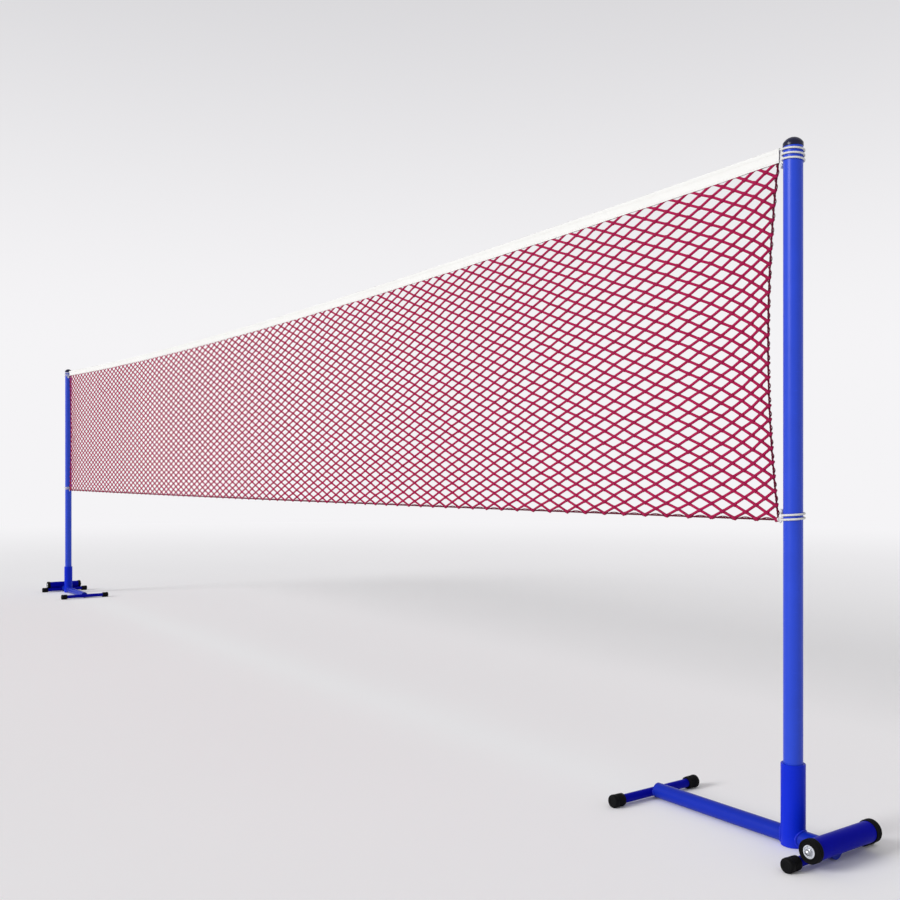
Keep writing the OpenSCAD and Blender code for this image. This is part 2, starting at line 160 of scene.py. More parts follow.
def ripple(x, down):
    """The tape's small waves across the net, which die out at its fold."""
    loose = min(1.0, down / TAPE_H) ** 1.5
    return loose * (0.0012 * math.sin(11.9 * x) + 0.0007 * math.sin(29.0 * x + 1.0))


# ---- materials


def linear(code):
    """The linear colour of an sRGB hex value."""
    values = [int(code[i : i + 2], 16) / 255 for i in (0, 2, 4)]
    return [v / 12.92 if v <= 0.04045 else ((v + 0.055) / 1.055) ** 2.4 for v in values]


def shaded(colour, share):
    """A lighter or darker tone of a linear colour."""
    return [min(1.0, c * share) for c in colour[:3]] + [1.0]


def add(tree, kind, settings=None, inputs=None):
    """Adds a node, with its settings, and with numbers or links on its inputs."""
    node = tree.nodes.new(kind)
    for name, value in (settings or {}).items():
        setattr(node, name, value)
    for name, value in (inputs or {}).items():
        if isinstance(value, bpy.types.NodeSocket):
            tree.links.new(value, node.inputs[name])
        else:
            node.inputs[name].default_value = value
    return node


def noise(tree, place, scale, detail=2.0):
    inputs = {"Vector": place, "Scale": scale, "Detail": detail}
    return add(tree, "ShaderNodeTexNoise", None, inputs).outputs["Fac"]


def mixed(tree, share, low, high, blend="MIX"):
    settings = {"data_type": "RGBA", "blend_type": blend}
    return add(tree, "ShaderNodeMix", settings, {0: share, 6: low, 7: high}).outputs[2]


def blended(tree, share, low, high):
    """A number between two others."""
    inputs = {0: share, 2: low, 3: high}
    return add(tree, "ShaderNodeMix", {"data_type": "FLOAT"}, inputs).outputs[0]


def ranged(tree, value, low, high, start=0.0, end=1.0, curve="LINEAR"):
    """Takes a value between start and end to one between low and high."""
    inputs = {"Value": value, "From Min": start, "From Max": end, "To Min": low, "To Max": high}
    settings = {"interpolation_type": curve}
    return add(tree, "ShaderNodeMapRange", settings, inputs).outputs["Result"]


def scaled(tree, place, scale, turn=0.0):
    inputs = {"Vector": place, "Rotation": (0, 0, turn), "Scale": scale}
    return add(tree, "ShaderNodeMapping", None, inputs).outputs["Vector"]


def start_material(name, shader_inputs):
    """A new material with one shader, its tree, and the place of each point in metres."""
    material = bpy.data.materials.new(name)
    material.use_nodes = True
    tree = material.node_tree
    tree.nodes.clear()
    shader = add(tree, "ShaderNodeBsdfPrincipled", None, shader_inputs)
    add(tree, "ShaderNodeOutputMaterial", None, {"Surface": shader.outputs["BSDF"]})
    place = add(tree, "ShaderNodeTexCoord").outputs["Object"]
    return material, tree, shader, place


def dress(tree, shader, colour, roughness=None, height=None, strength=0.0, distance=0.0004):
    """Links the shader's colour, and its roughness and bumps where they are given."""
    tree.links.new(colour, shader.inputs["Base Color"])
    if roughness:
        tree.links.new(roughness, shader.inputs["Roughness"])
    if height:
        inputs = {"Height": height, "Strength": strength, "Distance": distance}
        bump = add(tree, "ShaderNodeBump", None, inputs)
        tree.links.new(bump.outputs["Normal"], shader.inputs["Normal"])


def powder_coated_steel(name, colour, scuff, gloss):
    """Powder-coated steel tube: a satin gloss with a fine orange peel, slightly uneven in tone,
    with faint rub marks and a little floor dust low down."""
    material, tree, shader, place = start_material(name, {"Specular IOR Level": gloss})
    patches = noise(tree, place, 14.0, 3.0)
    tone = mixed(tree, patches, shaded(colour, 0.9), shaded(colour, 1.1))
    # rub marks run along the tubes' turn, 1 mm wide and up to 20 mm long
    streaks = noise(tree, scaled(tree, place, (50.0, 50.0, 900.0)), 1.0)
    rubbed = ranged(tree, streaks, 0.0, scuff, 0.66, 0.74)
    worn = mixed(tree, rubbed, tone, shaded(colour, 1.8))
    # dust gathers up to 25 mm over the floor
    height = add(tree, "ShaderNodeSeparateXYZ", None, {"Vector": place}).outputs["Z"]
    low = ranged(tree, height, 0.05, 0.0, 0.0, 0.025)
    specks = {0: low, 1: noise(tree, place, 260.0)}
    dust = add(tree, "ShaderNodeMath", {"operation": "MULTIPLY"}, specks).outputs["Value"]
    final = mixed(tree, dust, worn, linear("9a978f") + [1.0])
    rough = ranged(tree, patches, 0.3, 0.42)
    # orange peel: bumps about 2 mm across and a few hundredths of a millimetre high
    dress(tree, shader, final, rough, noise(tree, place, 480.0, 1.0), 0.12)
    return material


def moulded(name, colour, roughness, grain_mm, depth, specular=0.4):
    """Moulded rubber or plastic: a fine spark-eroded grain, uneven sheen and pale scuffs."""
    material, tree, shader, place = start_material(name, {"Specular IOR Level": specular})
    bloom = noise(tree, place, 60.0, 4.0)
    tone = mixed(tree, bloom, shaded(colour, 0.75), shaded(colour, 1.3))
    sheen = ranged(tree, bloom, roughness - 0.08, roughness + 0.1)
    dress(tree, shader, tone, sheen, noise(tree, place, 1000 / grain_mm), depth)
    return material


def zinc_plated_steel(name, colour):
    """Zinc-plated steel: a satin metal with a fine spangle and turning marks."""
    material, tree, shader, place = start_material(name, {"Metallic": 1.0})
    cells = add(tree, "ShaderNodeTexVoronoi", None, {"Vector": place, "Scale": 700.0})
    spangle = cells.outputs["Distance"]
    tone = mixed(tree, spangle, shaded(colour, 0.85), shaded(colour, 1.15))
    dress(tree, shader, tone, ranged(tree, spangle, 0.28, 0.42))
    return material


def twisted(name, colour, radius, lay, fibre=0.0004):
    """Twisted polyester: slanting strands with painted shade in the grooves between them, fine
    fibres, a soft sheen and an uneven dye. A tube's own UV map, in metres, carries its strands;
    a radius of 0 leaves them out, for knots."""
    look = {"Specular IOR Level": 0.1, "Sheen Weight": 0.06, "Sheen Roughness": 0.4}
    material, tree, shader, place = start_material(name, {**look, "Roughness": 0.75})
    dye = noise(tree, place, 22.0, 3.0)
    tone = mixed(tree, dye, shaded(colour, 0.84), shaded(colour, 1.28))
    ridge = noise(tree, place, 1 / fibre)
    if radius:
        # three strands go round the twine over each lay, which makes one slanting wave each
        flat = add(tree, "ShaderNodeUVMap", {"uv_map": "laid"}).outputs["UV"]
        slant = scaled(tree, flat, (3 / (2 * math.pi * radius), 3 / lay, 1))
        # a diagonal wave is 2 pi / 10 of its coordinates' sum long
        inputs = {"Vector": slant, "Scale": math.pi / 5, "Distortion": 0.4}
        wave = add(tree, "ShaderNodeTexWave", {"bands_direction": "DIAGONAL"}, inputs)
        ridge = blended(tree, 0.25, wave.outputs["Fac"], ridge)
    # painted shade: the grooves between strands and between fibres are darkened to 55 per cent
    groove = ranged(tree, ridge, 0.55, 1.0, 0.0, 0.6)
    final = mixed(tree, 1.0, tone, groove, "MULTIPLY")
    dress(tree, shader, final, None, ridge, 0.7, 0.0008)
    return material


def woven(name, colour, thread, turn):
    """Woven or braided polyester on a piece's own UV map, in metres: thread is the thread's
    pitch in metres, and turn lays the weave at an angle, as in a braid."""
    look = {"Specular IOR Level": 0.2, "Sheen Weight": 0.2, "Sheen Roughness": 0.5}
    material, tree, shader, _ = start_material(name, {**look, "Roughness": 0.8})
    flat = add(tree, "ShaderNodeUVMap", {"uv_map": "laid"}).outputs["UV"]
    threads = scaled(tree, flat, (1 / thread, 1 / thread, 1), turn)
    # one wave of the texture is 2 pi / 20 of its coordinates long
    inputs = {"Vector": threads, "Scale": math.pi / 10}
    warp, weft = (
        add(tree, "ShaderNodeTexWave", {"bands_direction": way}, inputs).outputs["Fac"]
        for way in ("X", "Y")
    )
    over = add(tree, "ShaderNodeTexChecker", None, {"Vector": threads, "Scale": 1.0})
    ridge = blended(tree, over.outputs["Fac"], warp, weft)
    grime = noise(tree, flat, 9.0, 4.0)
    tone = mixed(tree, grime, shaded(colour, 0.93), shaded(colour, 1.03))
    # painted shade: the hollows between the threads are darkened to 80 per cent
    final = mixed(tree, 1.0, tone, ranged(tree, ridge, 0.8, 1.0), "MULTIPLY")
    dress(tree, shader, final, None, ridge, 0.4, 0.0005)
    return material


# ---- making pieces


def select_only(*pieces):
    bpy.ops.object.select_all(action="DESELECT")
    for piece in pieces:
        piece.select_set(True)
    bpy.context.view_layer.objects.active = pieces[0]


def start_edit():
    bpy.ops.object.mode_set(mode="EDIT")
    bpy.ops.mesh.select_all(action="SELECT")


def end_edit():
    bpy.ops.mesh.normals_make_consistent()
    bpy.ops.object.mode_set(mode="OBJECT")


def finished(piece, name, material, body, replaced=(), angle=180):
    """Applies the piece's place, names it and hangs it on its body. Edges sharper than the
    angle in degrees stay sharp, and by default none does."""
    select_only(piece)
    bpy.ops.object.transform_apply()
    bpy.ops.object.shade_smooth_by_angle(angle=math.radians(angle))
    piece.name = piece.data.name = name
    piece.data.materials.append(material)
    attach(piece, body)
    if replaced:
        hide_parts(*replaced)
    return piece


def turned(outline, segments, closed=False):
    """Turns an outline of (radius, height) points about Z, as a new piece. A closed outline
    makes a ring, and an open one ends on the axis and has a flat disc across its first ring."""
    first_r, first_h = outline[0]
    bpy.ops.mesh.primitive_circle_add(vertices=segments, radius=first_r)
    piece = bpy.context.object
    start_edit()
    bpy.ops.transform.translate(value=(0, 0, first_h))
    for (r, h), (next_r, next_h) in zip(outline, outline[1:]):
        bpy.ops.mesh.extrude_region_move(TRANSFORM_OT_translate={"value": (0, 0, next_h - h)})
        if next_r > 0:
            bpy.ops.transform.resize(
                value=(next_r / r, next_r / r, 1), center_override=(0, 0, next_h)
            )
        else:
            bpy.ops.mesh.merge(type="CENTER")
    bpy.ops.mesh.select_all(action="SELECT")
    if closed:
        bpy.ops.mesh.remove_doubles(threshold=0.00001)
    else:
        bpy.ops.mesh.fill_holes(sides=0)
    end_edit()
    return piece


def joined(pieces):
    select_only(*pieces)
    bpy.ops.object.join()
    return pieces[0]


def meshed(name, points, faces, laid=None):
    """A selected piece of the points and faces, with a UV map "laid" if one is given."""
    mesh = bpy.data.meshes.new(name)
    mesh.from_pydata(points, [], faces)
    if laid:
        mesh.uv_layers.new(name="laid").data.foreach_set("uv", np.array(laid, np.float32).ravel())
    piece = bpy.data.objects.new(name, mesh)
    bpy.context.scene.collection.objects.link(piece)
    select_only(piece)
    return piece


def strip(first, width, across, along):
    """The faces between rows of points, each width points wide, and their corners' places in
    metres. The rows are rings when there is one more place across than there are points."""
    faces, laid = [], []
    for k in range(len(along) - 1):
        a = first + k * width
        for m in range(len(across) - 1):
            n = (m + 1) % width
            faces.append((a + m, a + n, a + width + n, a + width + m))
            corners = ((m, k), (m + 1, k), (m + 1, k + 1), (m, k + 1))
            laid += [(across[i], along[j]) for i, j in corners]
    return faces, laid


def run_along(path):
    """How far along the path each of its points lies."""
    return np.concatenate([[0], np.cumsum(np.linalg.norm(np.diff(path, axis=0), axis=1))])


def headings(path):
    """The path's direction at each of its points."""
    heads = np.gradient(path, axis=0)
    return heads / np.linalg.norm(heads, axis=1)[:, None]


def frames_along(path):
    """Two directions square to the path at each of its points, with no twist between them."""
    heads = headings(path)
    side = np.cross(heads[0], (0, 0, 1) if abs(heads[0][2]) < 0.9 else (0, 1, 0))
    sides = []
    for head in heads:
        side = side - head * side.dot(head)
        side /= np.linalg.norm(side)
        sides.append(side)
    sides = np.array(sides)
    return sides, np.cross(heads, sides)


def tubes(name, paths, radius, ring_sides, flatten=1.0, scales=None):
    """One mesh of closed tubes along the paths, with a UV map "laid" that holds metres around
    and along each. flatten is the section's depth across the net as a share of its width, and
    scales gives the size of each ring as a share of the radius."""
    points, faces, laid = [], [], []
    angles = np.linspace(0, 2 * math.pi, ring_sides, endpoint=False)
    for path in paths:
        path = np.array(path, float)
        if flatten != 1:
            sides = np.tile((0.0, flatten, 0.0), (len(path), 1))
            ups = np.cross(headings(path), (0, 1, 0))
        else:
            sides, ups = frames_along(path)
        size = radius * (np.ones(len(path)) if scales is None else scales)
        rings = path[:, None] + size[:, None, None] * (
            np.cos(angles)[None, :, None] * sides[:, None]
            + np.sin(angles)[None, :, None] * ups[:, None]
        )
        first = sum(len(p) for p in points)
        last = first + (len(path) - 1) * ring_sides
        points.append(rings.reshape(-1, 3))
        around = [2 * math.pi * radius * m / ring_sides for m in range(ring_sides + 1)]
        wall, wall_laid = strip(first, ring_sides, around, run_along(path))
        faces += wall + [range(first, first + ring_sides)[::-1], range(last, last + ring_sides)]
        laid += wall_laid + [(0, 0)] * (2 * ring_sides)
    piece = meshed(name, np.concatenate(points).tolist(), faces, laid)
    start_edit()
    end_edit()
    return piece


def repeated(pattern, name, places):
    """One mesh that holds a copy of the pattern's mesh at each place, a 3 by 4 matrix."""
    count = len(pattern.data.vertices)
    co = np.empty(count * 3)
    pattern.data.vertices.foreach_get("co", co)
    co = co.reshape(-1, 3)
    polygons = [tuple(p.vertices) for p in pattern.data.polygons]
    points = np.concatenate([co @ m[:, :3].T + m[:, 3] for m in places])
    faces = [tuple(v + k * count for v in p) for k in range(len(places)) for p in polygons]
    bpy.data.objects.remove(pattern)
    return meshed(name, points.tolist(), faces)


def placing(position, x_axis, y_axis):
    """The 3 by 4 matrix that puts a pattern at a position, along the given axes."""
    x, y = np.array(x_axis, float), np.array(y_axis, float)
    x /= np.linalg.norm(x)
    z = np.cross(x, y)
    z /= np.linalg.norm(z)
    return np.column_stack([x, np.cross(z, x), z, position])


def laid_rope(path, lay):
    """The paths of a border rope's strands, twisted about the rope's own path."""
    path = np.array(path, float)
    sides, ups = frames_along(path)
    strands = []
    for k in range(3):
        turn = 2 * math.pi * (run_along(path) / lay + k / 3)
        off = np.cos(turn)[:, None] * sides + np.sin(turn)[:, None] * ups
        strands.append(path + (BORDER_R - STRAND_R) * off)
    return strands


def winding(radius, cord_d, z, drop, turns, rise, steps=60):
    """The cord's way from the net onto the pole and round it, about the pole's axis."""
    bend_r = cord_d * TIE_BEND
    reach = math.sqrt(radius * radius + 2 * radius * bend_r)
    bend = math.atan2(reach, bend_r)
    lead = 12
    path = []
    for k in range(lead):
        a = bend * k / lead
        path.append(
            (-reach + bend_r * math.sin(a), -bend_r + bend_r * math.cos(a), z - drop * k / lead)
        )
    for k in range(turns * steps + 1):
        a = 1.5 * math.pi - bend + 2 * math.pi * k / steps
        path.append((radius * math.cos(a), radius * math.sin(a), z - drop + rise * k / steps))
    return path


def tied_knot(centre, outward, size):
    """A closed overhand knot's path, its flat face looking outward."""
    place = placing(centre, np.cross((0, 0, 1), outward), (0, 0, 1))
    path = []
    for k in range(75):
        t = 2 * math.pi * k / 72
        p = (
            math.sin(t) + 2 * math.sin(2 * t),
            math.cos(t) - 2 * math.cos(2 * t),
            -math.sin(3 * t),
        )
        path.append(place[:, :3] @ (size * np.array(p)) + place[:, 3])
    return path


# ---- what a user may change


def count_of(name, description, default):
    return bpy.props.IntProperty(name=name, description=description, default=default)


def number_of(name, description, default, **more):
    return bpy.props.FloatProperty(name=name, description=description, default=default, **more)


def length_of(name, description, default):
    return number_of(name, description, default, subtype="DISTANCE")


def colour_of(name, description, code):
    return bpy.props.FloatVectorProperty(
        name=name, description=description, default=linear(code), subtype="COLOR", min=0, max=1
    )


class NetSizes(bpy.types.PropertyGroup):
    """Sizes and colours of the net, its tape and its cords"""

    columns: count_of("Columns", "Full diamonds side by side", 80)
    rows: count_of("Rows", "Full diamonds one above the other", 25)
    twine: length_of("Twine", "Width of the net's twine", 0.0076)
    twine_depth: number_of("Twine depth", "Share of the twine's width", 0.55, subtype="FACTOR")
    knot: length_of("Knot", "Half length of a knot", 0.0088)
    twine_lay: length_of("Twine lay", "Length of one twist of the twine", 0.021)
    looseness: length_of("Looseness", "How far a knot sits from its even place", 0.0012)
    lay: length_of("Lay", "Length of one twist of the border rope", 0.024)
    lacing: length_of("Lacing", "Width of the lacing twine", 0.0024)
    stitch: length_of("Stitch", "Pitch of the tape's stitches", 0.009)
    twine_colour: colour_of("Twine colour", "Dyed polyester", "aa144c")
    rope_colour: colour_of("Border colour", "Dyed polyester rope", "6a1230")
    tape_colour: colour_of("Tape colour", "Bleached polyester tape", "f3f3f0")
    cord_colour: colour_of("Tie colour", "Bleached braided cord", "e2e2e0")


class StandSizes(bpy.types.PropertyGroup):
    """Sizes and colours of the poles and their stands"""

    weld: length_of("Weld", "Half width of a weld bead", 0.0028)
    ripple: length_of("Ripple", "Pitch of a weld bead's ripples", 0.0032)
    groove: length_of("Groove", "Depth of a foot cap's grip grooves", 0.0008)
    spokes: count_of("Ribs", "Ribs of a wheel's hub", 6)
    pole_paint: colour_of("Pole paint", "Powder coat of the poles", "1c40c4")
    paint: colour_of("Stand paint", "Powder coat of the sockets", "0a27c2")
    # The stems' colour is the stands' blue paint darkened, as painted shade
    stem_paint_in_shade: colour_of("Stem paint, painted shade", "Powder coat of the stems, darkened as painted shade", "0e29a6")
    # The feet's and housings' navy is the stands' blue paint darkened, as painted shade
    foot_paint_in_shade: colour_of("Foot paint, painted shade", "Powder coat of feet and axle housings, darkened as painted shade", "02069c")
    rubber: colour_of("Rubber", "Tyres and foot caps", "08080a")
    plastic: colour_of("Plastic", "Bushes and pole plugs", "0a0a16")
    cap: colour_of("Cap", "Pole caps", "06082e")
    hub: colour_of("Hub", "Wheel hubs", "c3c6ce")
    metal: colour_of("Metal", "Axles and nuts", "b8bac0")


class StageSizes(bpy.types.PropertyGroup):
    """Place of the camera, and the stage's colours"""

    eye: bpy.props.FloatVectorProperty(
        name="Camera",
        description="Place of the camera",
        default=(4.478, -1.956, 0.834),
        unit="LENGTH",
    )
    heading: number_of(
        "Heading", "Turn about Z, from looking along Y", math.radians(54.82), subtype="ANGLE"
    )
    lens: number_of("Lens", "Focal length in millimetres", 40.58)
    rise: number_of("Rise", "Upward shift of the picture", 0.0289)
    floor: colour_of("Floor", "Pale matt floor", "fbfafc")
    far: colour_of("Background", "Pale background behind the net", "f5f4f6")
    above: colour_of("Overhead", "Background high over the net", "cfced1")


# ---- the net


class NETKIT_OT_mesh(bpy.types.Operator):
    """Ties the knotted diamond mesh between the tape, the bottom rope and the side ropes"""

    bl_idname = "netkit.mesh"
    bl_label = "Knotted mesh"

    def execute(self, context):
        s = context.scene.net_sizes
        columns, rows = 2 * s.columns, 2 * s.rows
        chance = random.Random(7)
        knots = {}
        for i in range(columns + 1):
            for j in range(i % 2, rows + 1, 2):
                slack = s.looseness if 0 < i < columns and 0 < j < rows else 0
                shift = Vector([slack * chance.uniform(-1, 1) for _ in "xyz"])
                knots[i, j] = hung(2 * i / columns - 1, j / rows) + shift
        paths = []
        for step in (1, -1):
            starts = [(0, j) for j in range(0, rows + 1, 2)]
            starts += [(i, 0 if step == 1 else rows) for i in range(2, columns + 1, 2)]
            for i, j in starts:
                path = []
                while (i, j) in knots:
                    path.append(knots[i, j])
                    i, j = i + 1, j + step
                if len(path) > 1:
                    paths.append(path)
        twine = twisted("polyester net twine", s.twine_colour, s.twine / 2, s.twine_lay)
        mesh = tubes("net_twine", paths, s.twine / 2, 6, s.twine_depth)
        finished(mesh, "net_mesh", twine, NET_BODY, ["net"])
        # painted shade: the knots take the twine's own dye 15 per cent darker
        knot_twine_in_shade = twisted("polyester net knots in painted shade", shaded(s.twine_colour, 0.85), 0, 0)
        slope = math.atan2(MESH_H / rows, 2 * MESH_X / columns)
        for side, sign in SIDES.items():
            places = [
                placing(p, (1, 0, chance.uniform(-0.25, 0.25)), (0, 1, 0))
                for (i, j), p in knots.items()
                if j < rows and (2 * i < columns) == (sign < 0)
            ]
            piece = repeated(net_knot(s, slope), "knots", places)
            name = f"net_knots_{side}"
            finished(piece, name, knot_twine_in_shade, NET_BODY)
        return {"FINISHED"}


def net_knot(s, slope):
    """A knot of the net: one turn of twine drawn tight over another, each in line with a cord."""
    turns = []
    for way in (1, -1):
        centre = (0, way * s.twine * 0.14, 0)
        bpy.ops.mesh.primitive_uv_sphere_add(segments=7, ring_count=4, location=centre)
        bpy.ops.transform.resize(value=(s.twine * 0.64, s.twine * 0.44, s.knot))
        bpy.ops.transform.rotate(
            value=-way * (math.pi / 2 - slope), orient_axis="Y", center_override=(0, 0, 0)
        )
        bpy.ops.object.transform_apply()
        turns.append(bpy.context.object)
    return joined(turns)


class NETKIT_OT_headband(bpy.types.Operator):
    """Folds the white tape over the head cord and stitches it above the net"""

    bl_idname = "netkit.headband"
    bl_label = "Headband"

    def execute(self, context):
        s = context.scene.net_sizes
        # half the tape's outside as (across, down): from its lower edge up and over the fold
        flat, full = 0.0026, 0.0026 * 1.12
        half = [(flat, d) for d in (TAPE_H, 0.030, 0.025, 0.020, 0.015)] + [(full, 0.011)]
        half += [
            (FOLD_R * math.cos(a), FOLD_R - FOLD_R * math.sin(a))
            for a in (math.pi * k / 10 - 0.3 for k in range(6))
        ]
        section = half + [(0.0, 0.0)] + [(-y, d) for y, d in reversed(half)]
        stations = np.linspace(-TAPE_END, TAPE_END, 241)
        points = [(x, y + ripple(x, d), tape_z(x) - d) for x in stations for y, d in section]
        run = run_along(section).tolist()
        tape = meshed("tape", points, *strip(0, len(section), run, stations))
        bpy.ops.object.modifier_add(type="SOLIDIFY")
        tape.modifiers[0].thickness = TAPE_THICKNESS
        tape.modifiers[0].offset = -1.0
        bpy.ops.object.modifier_apply(modifier="Solidify")
        cloth = woven("woven polyester tape", s.tape_colour, 0.0016, 0)
        finished(tape, "headband_tape", cloth, NET_BODY, ["headband"], 60)
        bpy.ops.mesh.primitive_uv_sphere_add(segments=6, ring_count=4)
        bpy.ops.transform.resize(value=(s.stitch * 0.36, 0.0005, 0.00055))
        bpy.ops.object.transform_apply()
        places = []
        for down in (0.0105, TAPE_H - 0.004):
            outside = full if down < 0.015 else flat
            for face in (-1, 1):
                for x in np.arange(-TAPE_END + s.stitch, TAPE_END - s.stitch / 2, s.stitch):
                    spot = (x, face * outside + ripple(x, down), tape_z(x) - down)
                    places.append(placing(spot, (1, 0, 0), (0, 1, 0)))
        thread = moulded("polyester sewing thread", linear("d9d8d2"), 0.6, 0.4, 0.2, 0.3)
        stitches = repeated(bpy.context.object, "stitches", places)
        seam = finished(stitches, "headband_stitches", thread, NET_BODY)
        return {"FINISHED"}


class NETKIT_OT_ropes(bpy.types.Operator):
    """Lays the bottom and side border ropes, with the twine that laces the mesh to them"""

    bl_idname = "netkit.ropes"
    bl_label = "Border ropes"

    def execute(self, context):
        s = context.scene.net_sizes
        step = s.lay / 7
        span = np.linspace(-BORDER_END, BORDER_END, int(2 * BORDER_END / step))
        ropes = [("bottom_rope", "bottom_cord", [(x, 0, border_z(x)) for x in span])]
        span = np.linspace(MESH_FOOT + REST_GAP, MESH_TOP - REST_GAP, int(MESH_H / step))
        off = BORDER_R + REST_GAP
        for side, sign in SIDES.items():
            path = [(sign * (side_x(z) + off), 0, z) for z in span]
            ropes.append((f"side_rope_{side}", f"side_cord_{side}", path))
        dyed = twisted("polyester border rope", s.rope_colour, STRAND_R, s.lay / 3)
        for name, node, path in ropes:
            rope = tubes("rope", laid_rope(path, s.lay), STRAND_R, 6)
            finished(rope, name, dyed, NET_BODY, [node])
        around = BORDER_R + s.lacing / 2
        count = 2 * s.columns
        knots_x = [hung(2 * i / count - 1, 0).x for i in range(count + 1)]
        steps = np.linspace(0, count, 14 * count)
        angles = math.pi * (steps + 1)
        span = zip(np.interp(steps, range(count + 1), knots_x), np.sin(angles), np.cos(angles))
        turns = [[(x, around * sin, border_z(x) + around * cos) for x, sin, cos in span]]
        count = 2 * s.rows
        angles = math.pi * np.linspace(0, count, 12 * count)
        heights = np.linspace(MESH_FOOT + REST_GAP, MESH_TOP - REST_GAP, 12 * count)
        span = list(zip(heights, np.sin(angles), np.cos(angles)))
        for sign in SIDES.values():
            turns.append(
                [(sign * (side_x(z) + off - around * cos), around * sin, z) for z, sin, cos in span]
            )
        laced = tubes("lacing", turns, s.lacing / 2, 5)
        colour = shaded(s.rope_colour, 1.3)
        lighter = twisted("polyester lacing twine", colour, s.lacing / 2, s.lay / 3)
        finished(laced, "border_lacing", lighter, NET_BODY)
        return {"FINISHED"}


class NETKIT_OT_ties(bpy.types.Operator):
    """Winds the head cord and the bottom ties around the poles and knots them"""

    bl_idname = "netkit.ties"
    bl_label = "Head cord and ties"

    def execute(self, context):
        s = context.scene.net_sizes
        braid = woven("braided polyester cord", s.cord_colour, 0.0022, math.radians(45))
        wrap = POLE_R + REST_GAP + HEAD_CORD_R
        top = TAPE_TOP - FOLD_R
        turns = winding(wrap, 2 * HEAD_CORD_R, top, HEAD_LEAD_DROP, HEAD_TURNS, HEAD_RISE)
        run = [(x, 0, tape_z(x) - FOLD_R) for x in np.linspace(-TAPE_END, TAPE_END, 121)]
        left = [(-POLE_X - x, y, z) for x, y, z in reversed(turns)]
        right = [(POLE_X + x, y, z) for x, y, z in turns]
        ends = {"left": [left[0]], "right": [right[-1]]}
        cord = tubes("cord", [left + run + right], HEAD_CORD_R, 10)
        finished(cord, "head_cord_run", braid, NET_BODY, ["head_cord"])
        wrap = POLE_R + REST_GAP + BORDER_R
        turns = winding(wrap, 2 * BORDER_R, BORDER_Z, 0, FOOT_TURNS, FOOT_RISE)
        for side, sign in SIDES.items():
            path = [(sign * BORDER_END, 0, BORDER_Z)]
            path += [(sign * (POLE_X + x), sign * y, z) for x, y, z in turns]
            tie = tubes("tie", [path], BORDER_R, 10)
            node = f"bottom_tie_{side}"
            finished(tie, f"bottom_cord_tie_{side}", braid, NET_BODY, [node])
            ends[side].append(path[-1])
        knots = []
        for side, sign in SIDES.items():
            foot_eye = (sign * (BORDER_END + 0.003), 0, BORDER_Z)
            knots.append(tied_knot(foot_eye, (0.3 * sign, -1, 0), KNOT_SIZE))
            for end in ends[side]:
                outward = np.array((end[0] - sign * POLE_X, end[1], 0))
                outward /= np.linalg.norm(outward)
                knots.append(tied_knot(end + outward * 0.0015, outward, KNOT_SIZE))
        hitches = tubes("hitches", knots, KNOT_CORD_R, 8)
        finished(hitches, "tie_knots", braid, NET_BODY)
        return {"FINISHED"}


# ---- the poles and stands


class NETKIT_OT_tubes(bpy.types.Operator):
    """Paints the steel tubes and finishes the plugs, bushes and axles"""

    bl_idname = "netkit.tubes"
    bl_label = "Steel tubes"

    def execute(self, context):
        s = context.scene.stand_sizes
        poles = powder_coated_steel("powder-coated steel, poles", s.pole_paint, 0.25, 0.32)
        sockets = powder_coated_steel("powder-coated steel, sockets", s.paint, 0.25, 0.09)
        # painted shade: the stems get a darker copy of the stand paint
        stems = powder_coated_steel("powder-coated steel, stems in painted shade", s.stem_paint_in_shade, 0.25, 0.13)
        # painted shade: the feet and axle housings get a dark navy copy of the stand paint
        dark = powder_coated_steel("powder-coated steel, dark in painted shade", s.foot_paint_in_shade, 0.3, 0.03)
        plastic = moulded("moulded polypropylene", s.plastic, 0.45, 0.9, 0.15)
        zinc = zinc_plated_steel("zinc-plated steel", s.metal)
        for finish, nodes in (
            (poles, ["pole"]),
            (sockets, ["sleeve"]),
            (stems, ["stem", "stem_plates"]),
            (dark, ["inner_foot", "outer_foot", "axle_housing"]),
            (plastic, ["axle_bushes", "pole_foot"]),
            (zinc, ["axle"]),
        ):
            for node in (f"{name}_{side}" for name in nodes for side in SIDES):
                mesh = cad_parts[node].data
                mesh.materials.clear()
                mesh.materials.append(finish)
        return {"FINISHED"}


